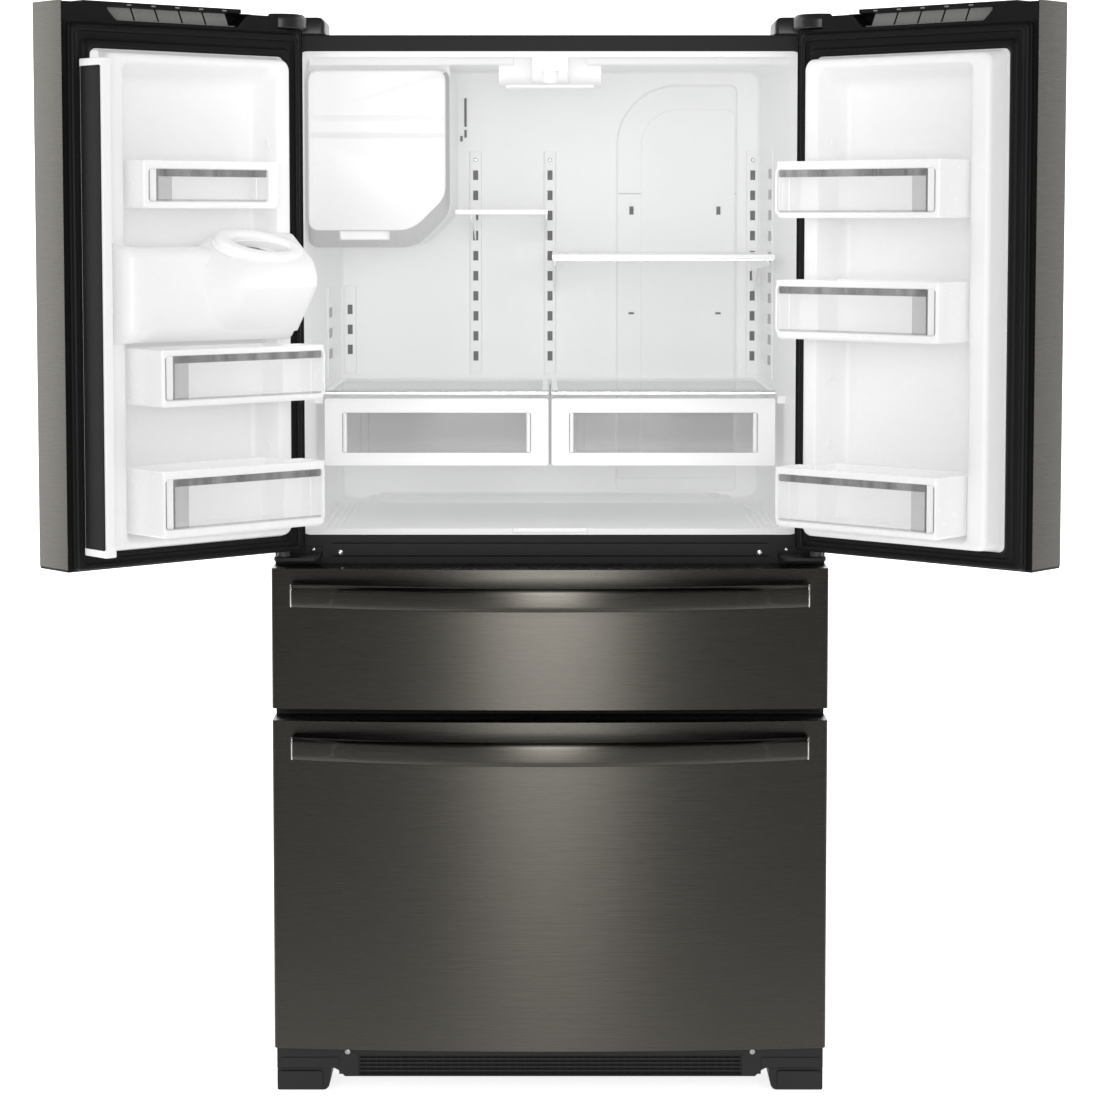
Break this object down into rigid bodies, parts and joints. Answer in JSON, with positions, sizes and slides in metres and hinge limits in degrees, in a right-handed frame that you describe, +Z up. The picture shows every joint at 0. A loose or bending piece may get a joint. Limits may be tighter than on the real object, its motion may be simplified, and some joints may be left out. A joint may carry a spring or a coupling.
{
  "type": "french door refrigerator",
  "caption": "French door refrigerator with two doors, folding mullion, door bins, crispers, ice bin, a middle drawer and a freezer drawer below.",
  "frame": {"origin": "centre of the bounding box's base, on the floor, with both doors open as at rest", "axes": "+Z up, front of the refrigerator towards -Y, +X to the right seen from the front"},
  "size_m": [1.5924, 1.1538, 1.77],
  "materials": {
    "cabinet_grey": "satin textured paint",
    "liner_white": "satin white",
    "frame_black": "satin",
    "trim_black": "fine grain",
    "compressor_black": "gloss enamel",
    "shelf_glass": "clear with a green edge",
    "shelf_trim": "satin",
    "hinge_steel": "satin",
    "roller_nylon": "satin",
    "bin_white": "smooth",
    "bin_clear": "clear",
    "black_stainless": "fine brushed, dark bronze tint",
    "handle_stainless": "fine brushed, dark bronze tint",
    "gasket_black": "soft satin",
    "dispenser_black": "gloss"
  },
  "bodies": {
    "cabinet": {"cabinet_shell": "cabinet_grey", "fridge_liner": "liner_white", "middle_liner": "liner_white", "freezer_liner": "liner_white", "front_frame": "frame_black", "base_grille": "trim_black", "foot_left": "trim_black", "foot_right": "trim_black", "machine_bay": "cabinet_grey", "compressor": "compressor_black", "rear_cover": "cabinet_grey", "air_duct_cover": "liner_white", "light_housing": "liner_white", "rail_left_inner": "liner_white", "rail_right_inner": "liner_white", "rail_right_corner": "liner_white", "shelf_small": "shelf_glass", "shelf_wide_frame": "shelf_trim", "shelf_wide_glass": "shelf_glass", "crisper_cover_left": "shelf_glass", "crisper_cover_right": "shelf_glass", "ice_maker_housing": "liner_white", "hinge_cover_left": "trim_black", "hinge_cover_right": "trim_black", "hinge_lower_left": "hinge_steel", "hinge_lower_right": "hinge_steel"},
    "roller_left": {"roller_left": "roller_nylon"},
    "roller_right": {"roller_right": "roller_nylon"},
    "ice_bin": {"ice_bin": "liner_white"},
    "crisper_left": {"crisper_front_left": "bin_white", "crisper_tray_left": "bin_clear"},
    "crisper_right": {"crisper_front_right": "bin_white", "crisper_tray_right": "bin_clear"},
    "left_door": {"left_door_skin": "black_stainless", "left_door_liner": "liner_white", "left_door_gasket": "gasket_black", "left_door_bin_top": "bin_white", "left_door_bin_middle": "bin_white", "left_door_bin_bottom": "bin_white", "left_door_ice_chute": "liner_white", "left_door_handle": "handle_stainless", "left_door_dispenser_bay": "dispenser_black"},
    "dispenser_paddle": {"dispenser_paddle": "trim_black"},
    "mullion": {"mullion": "liner_white"},
    "right_door": {"right_door_skin": "black_stainless", "right_door_liner": "liner_white", "right_door_gasket": "gasket_black", "right_door_bin_top": "bin_white", "right_door_bin_middle": "bin_white", "right_door_bin_bottom": "bin_white", "right_door_handle": "handle_stainless"},
    "middle_drawer": {"middle_drawer_front": "black_stainless", "middle_drawer_panel": "liner_white", "middle_drawer_tub": "bin_white", "middle_drawer_handle": "handle_stainless"},
    "freezer_drawer": {"freezer_drawer_front": "black_stainless", "freezer_drawer_panel": "liner_white", "freezer_drawer_tub": "bin_white", "freezer_drawer_handle": "handle_stainless"},
    "freezer_tray": {"freezer_tray": "bin_white"}
  },
  "joints": [
    {"name": "left_door_hinge", "type": "hinge", "parent": "cabinet", "child": "left_door", "pos_m": [-0.435, -0.21614, 0.9], "axis": [0, 0, -1], "range_deg": [-138, 0]},
    {"name": "right_door_hinge", "type": "hinge", "parent": "cabinet", "child": "right_door", "pos_m": [0.435, -0.21614, 0.9], "axis": [0, 0, 1], "range_deg": [-138, 0]},
    {"name": "mullion_fold", "type": "hinge", "parent": "left_door", "child": "mullion", "pos_m": [-0.69999, -0.53009, 1.3], "axis": [0, 0, 1], "range_deg": [-90, 0]},
    {"name": "paddle_press", "type": "hinge", "parent": "left_door", "child": "dispenser_paddle", "pos_m": [-0.60088, -0.34127, 1.302], "axis": [-0.7431, -0.6691, 0], "range_deg": [0, 8], "stiffness_Nm_per_rad": 0.3},
    {"name": "middle_drawer_slide", "type": "slide", "parent": "cabinet", "child": "middle_drawer", "axis": [0, -1, 0], "range_m": [0, 0.4]},
    {"name": "freezer_drawer_slide", "type": "slide", "parent": "cabinet", "child": "freezer_drawer", "axis": [0, -1, 0], "range_m": [0, 0.44]},
    {"name": "freezer_tray_slide", "type": "slide", "parent": "freezer_drawer", "child": "freezer_tray", "axis": [0, 1, 0], "range_m": [0, 0.14]},
    {"name": "crisper_left_slide", "type": "slide", "parent": "cabinet", "child": "crisper_left", "axis": [0, -1, 0], "range_m": [0, 0.3]},
    {"name": "crisper_right_slide", "type": "slide", "parent": "cabinet", "child": "crisper_right", "axis": [0, -1, 0], "range_m": [0, 0.3]},
    {"name": "ice_bin_slide", "type": "slide", "parent": "cabinet", "child": "ice_bin", "axis": [0, -1, 0], "range_m": [0, 0.15]},
    {"name": "roller_left_spin", "type": "hinge", "parent": "cabinet", "child": "roller_left", "pos_m": [-0.385, 0.48686, 0.0218], "axis": [1, 0, 0], "continuous": true},
    {"name": "roller_right_spin", "type": "hinge", "parent": "cabinet", "child": "roller_right", "pos_m": [0.385, 0.48686, 0.0218], "axis": [1, 0, 0], "continuous": true}
  ]
}
